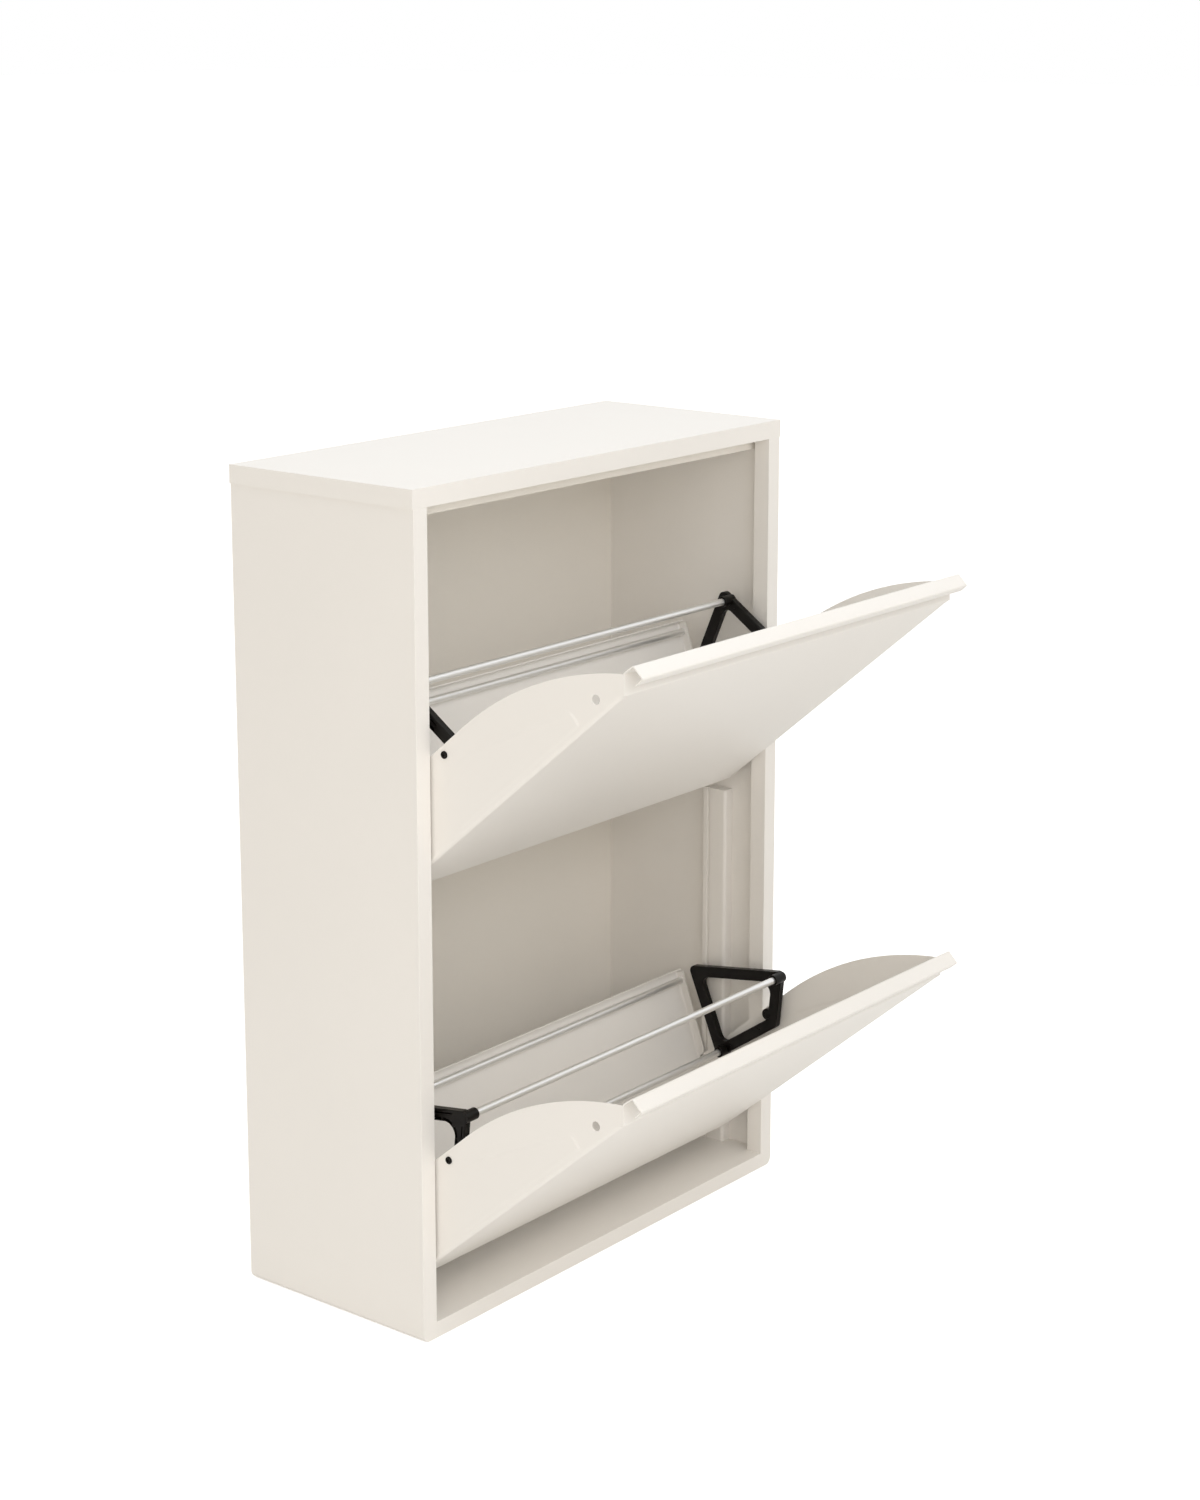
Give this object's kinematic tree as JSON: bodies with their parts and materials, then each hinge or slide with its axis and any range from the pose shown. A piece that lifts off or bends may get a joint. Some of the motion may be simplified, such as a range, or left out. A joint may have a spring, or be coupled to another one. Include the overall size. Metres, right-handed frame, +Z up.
{
  "type": "tilting shoe cabinet",
  "caption": "Slim white shoe cabinet with stacked tilt-out metal pockets, each with a swivelling black and steel shoe divider.",
  "frame": {"origin": "on the floor under the middle of the carcass, which is the middle of the bottom board's underside", "axes": "+X to the right seen from the front, +Y to the back, +Z up; the carcass front is at Y -0.1275"},
  "size_m": [0.62, 0.5233, 0.9],
  "materials": {
    "lacquered_board": "smooth satin white lacquer on board",
    "inner_board": "satin pale lacquer on thin board",
    "powder_coated_sheet": "fine satin powder coat on sheet steel",
    "black_plastic": "semi-gloss black injection moulding",
    "polished_rod": "bright drawn steel rod",
    "white_nylon": "natural white nylon",
    "zinc_steel": "zinc-plated steel",
    "beech_dowel": "bare fluted beech"
  },
  "bodies": {
    "cabinet": {"top_panel": "lacquered_board", "left_side_panel": "lacquered_board", "right_side_panel": "lacquered_board", "bottom_board": "lacquered_board", "back_panel": "inner_board", "left_rear_batten": "inner_board", "right_rear_batten": "inner_board", "wall_rail": "inner_board", "top_front_rail": "inner_board", "left_mid_stile": "lacquered_board", "right_mid_stile": "lacquered_board", "corner_dowels": "beech_dowel", "back_panel_screws": "zinc_steel", "hinge_bushes": "white_nylon"},
    "upper_pocket": {"upper_front_panel": "powder_coated_sheet", "upper_left_side_plate": "powder_coated_sheet", "upper_right_side_plate": "powder_coated_sheet", "upper_floor_sheet": "powder_coated_sheet", "upper_toe_rod": "polished_rod", "upper_hinge_pins": "zinc_steel", "upper_stop_studs": "white_nylon", "upper_pivot_screws": "black_plastic", "upper_pivot_nuts": "black_plastic", "upper_pivot_spacers": "white_nylon"},
    "upper_divider": {"upper_left_bracket": "black_plastic", "upper_right_bracket": "black_plastic", "upper_front_rod": "polished_rod", "upper_rear_rod": "polished_rod"},
    "lower_pocket": {"lower_front_panel": "powder_coated_sheet", "lower_left_side_plate": "powder_coated_sheet", "lower_right_side_plate": "powder_coated_sheet", "lower_floor_sheet": "powder_coated_sheet", "lower_toe_rod": "polished_rod", "lower_hinge_pins": "zinc_steel", "lower_stop_studs": "white_nylon", "lower_pivot_screws": "black_plastic", "lower_pivot_nuts": "black_plastic", "lower_pivot_spacers": "white_nylon"},
    "lower_divider": {"lower_left_bracket": "black_plastic", "lower_right_bracket": "black_plastic", "lower_front_rod": "polished_rod", "lower_rear_rod": "polished_rod"}
  },
  "joints": [
    {"name": "upper_pocket_tilt", "type": "hinge", "parent": "cabinet", "child": "upper_pocket", "pos_m": [0, -0.1185, 0.52], "axis": [1, 0, 0], "range_deg": [-49.5, 0]},
    {"name": "upper_divider_turn", "type": "hinge", "parent": "upper_pocket", "child": "upper_divider", "pos_m": [0, -0.14462, 0.63108], "axis": [1, 0, 0], "range_deg": [-50, 0]},
    {"name": "lower_pocket_tilt", "type": "hinge", "parent": "cabinet", "child": "lower_pocket", "pos_m": [0, -0.1185, 0.09], "axis": [1, 0, 0], "range_deg": [-49.5, 0]},
    {"name": "lower_divider_turn", "type": "hinge", "parent": "lower_pocket", "child": "lower_divider", "pos_m": [0, -0.14462, 0.20108], "axis": [1, 0, 0], "range_deg": [0, 75]}
  ]
}
